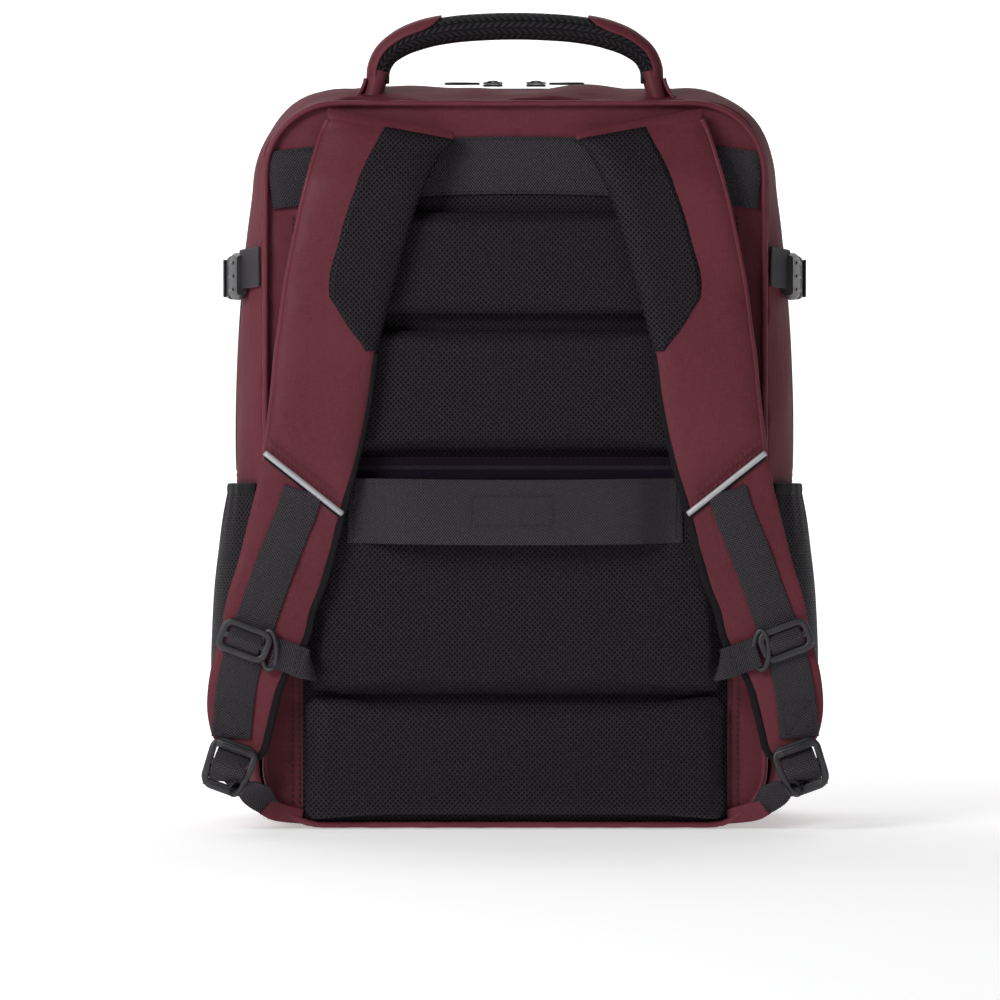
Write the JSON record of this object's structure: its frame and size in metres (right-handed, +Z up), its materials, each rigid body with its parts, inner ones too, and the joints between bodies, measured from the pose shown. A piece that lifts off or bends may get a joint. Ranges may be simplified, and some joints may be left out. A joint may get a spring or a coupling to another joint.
{
  "type": "travel backpack",
  "caption": "Burgundy travel backpack with padded mesh back, shoulder straps, luggage sleeve strap, side pockets, top handle and a zipped front that folds open.",
  "frame": {"origin": "middle of the flat bottom panel, on the floor", "axes": "+X to the right when facing the harness side, +Y away from the wearer, +Z up"},
  "size_m": [0.4042, 0.2395, 0.5112],
  "materials": {
    "nylon": "woven nylon",
    "mesh": "spacer mesh",
    "webbing": "woven webbing",
    "ziptape": "woven tape",
    "lining": "padded lining",
    "plastic": "moulded, fine grain",
    "sheet": "extruded sheet",
    "zinc": "black coated"
  },
  "bodies": {
    "pack": {"back_panel": "nylon", "bottom_panel": "nylon", "top_gusset": "nylon", "front_lower": "nylon", "edge_piping": "nylon", "frame_sheet": "sheet", "laptop_sleeve": "lining", "main_zip_rear": "ziptape", "back_pad_1": "mesh", "back_pad_2": "mesh", "back_pad_3": "mesh", "back_pad_4": "mesh", "back_zip": "ziptape", "top_band": "webbing", "luggage_strap": "webbing", "front_pocket": "nylon", "front_zip": "ziptape", "side_gusset_L": "nylon", "side_gusset_R": "nylon", "pocket_base_L": "nylon", "pocket_base_R": "nylon", "pocket_mesh_L": "mesh", "pocket_mesh_R": "mesh", "strap_anchor_L": "nylon", "strap_anchor_R": "nylon", "handle_lug_L": "nylon", "handle_lug_R": "nylon", "side_web_L": "webbing", "side_web_R": "webbing", "side_buckle_L": "plastic", "side_buckle_R": "plastic"},
    "front": {"front_panel": "nylon", "front_gusset": "nylon", "main_zip_front": "ziptape"},
    "handle": {"grab_handle": "mesh"},
    "front_slide": {"front_slider": "zinc"},
    "front_pull": {"front_puller": "plastic"},
    "back_slide": {"back_slider": "zinc"},
    "strap_L": {"strap_pad_L": "nylon", "strap_mesh_L": "mesh", "strap_webbing_L": "webbing"},
    "chest_L": {"chest_slider_L": "plastic", "chest_web_L": "webbing", "chest_buckle_L": "plastic"},
    "lock_L": {"ladder_lock_L": "plastic"},
    "web_L": {"anchor_web_L": "webbing"},
    "clip_L": {"side_male_L": "plastic"},
    "main_slide_L": {"main_slider_L": "zinc"},
    "main_pull_L": {"main_puller_L": "plastic"},
    "strap_R": {"strap_pad_R": "nylon", "strap_mesh_R": "mesh", "strap_webbing_R": "webbing"},
    "chest_R": {"chest_slider_R": "plastic", "chest_web_R": "webbing", "chest_buckle_R": "plastic"},
    "lock_R": {"ladder_lock_R": "plastic"},
    "web_R": {"anchor_web_R": "webbing"},
    "clip_R": {"side_male_R": "plastic"},
    "main_slide_R": {"main_slider_R": "zinc"},
    "main_pull_R": {"main_puller_R": "plastic"}
  },
  "joints": [
    {"name": "front_fold", "type": "hinge", "parent": "pack", "child": "front", "pos_m": [0, 0.1012, 0.216], "axis": [-1, 0, 0], "range_deg": [0, 110]},
    {"name": "handle_swing", "type": "hinge", "parent": "pack", "child": "handle", "pos_m": [0, -0.07, 0.4705], "axis": [1, 0, 0], "range_deg": [-55, 55]},
    {"name": "front_zip_run", "type": "slide", "parent": "pack", "child": "front_slide", "axis": [-1, 0, 0], "range_m": [0, 0.18]},
    {"name": "front_puller_lift", "type": "hinge", "parent": "front_slide", "child": "front_pull", "pos_m": [0.0845, 0.114, 0.182], "axis": [0, 0, -1], "range_deg": [0, 95]},
    {"name": "back_zip_run", "type": "slide", "parent": "pack", "child": "back_slide", "axis": [-1, 0, 0], "range_m": [0, 0.21]},
    {"name": "strap_swing_L", "type": "hinge", "parent": "pack", "child": "strap_L", "pos_m": [-0.0773, -0.1005, 0.436], "axis": [-0.9827, 0, 0.185], "range_deg": [0, 20]},
    {"name": "lower_web_swing_L", "type": "hinge", "parent": "pack", "child": "web_L", "pos_m": [-0.1515, -0.0962, 0.012], "axis": [0.76, 0, 0.65], "range_deg": [0, 43]},
    {"name": "chest_strap_slide_L", "type": "slide", "parent": "strap_L", "child": "chest_L", "axis": [0.33, 0, 0.944], "range_m": [-0.012, 0.045]},
    {"name": "ladder_lock_tilt_L", "type": "hinge", "parent": "strap_L", "child": "lock_L", "pos_m": [-0.1755, -0.1195, 0.053], "axis": [-0.9397, 0, 0.3419], "range_deg": [0, 40]},
    {"name": "side_release_L", "type": "slide", "parent": "pack", "child": "clip_L", "axis": [-0.2419, 0.9703, 0], "range_m": [0, 0.022]},
    {"name": "main_zip_run_L", "type": "slide", "parent": "pack", "child": "main_slide_L", "axis": [-1, 0, 0], "range_m": [0, 0.075]},
    {"name": "main_puller_lift_L", "type": "hinge", "parent": "main_slide_L", "child": "main_pull_L", "pos_m": [-0.0222, 0.0142, 0.4755], "axis": [0, 1, 0], "range_deg": [0, 100]},
    {"name": "strap_swing_R", "type": "hinge", "parent": "pack", "child": "strap_R", "pos_m": [0.0773, -0.1005, 0.436], "axis": [-0.9827, 0, -0.185], "range_deg": [0, 20]},
    {"name": "lower_web_swing_R", "type": "hinge", "parent": "pack", "child": "web_R", "pos_m": [0.1515, -0.0962, 0.012], "axis": [0.76, 0, -0.65], "range_deg": [0, 43]},
    {"name": "chest_strap_slide_R", "type": "slide", "parent": "strap_R", "child": "chest_R", "axis": [-0.33, 0, 0.944], "range_m": [-0.012, 0.045]},
    {"name": "ladder_lock_tilt_R", "type": "hinge", "parent": "strap_R", "child": "lock_R", "pos_m": [0.1755, -0.1195, 0.053], "axis": [-0.9397, 0, -0.3419], "range_deg": [0, 40]},
    {"name": "side_release_R", "type": "slide", "parent": "pack", "child": "clip_R", "axis": [0.2419, 0.9703, 0], "range_m": [0, 0.022]},
    {"name": "main_zip_run_R", "type": "slide", "parent": "pack", "child": "main_slide_R", "axis": [1, 0, 0], "range_m": [0, 0.075]},
    {"name": "main_puller_lift_R", "type": "hinge", "parent": "main_slide_R", "child": "main_pull_R", "pos_m": [0.0222, 0.0142, 0.4755], "axis": [0, -1, 0], "range_deg": [0, 100]}
  ],
  "couplings": [
    {"joint": "lower_web_swing_L", "follows": "strap_swing_L", "ratio": 2.1},
    {"joint": "lower_web_swing_R", "follows": "strap_swing_R", "ratio": 2.1}
  ]
}
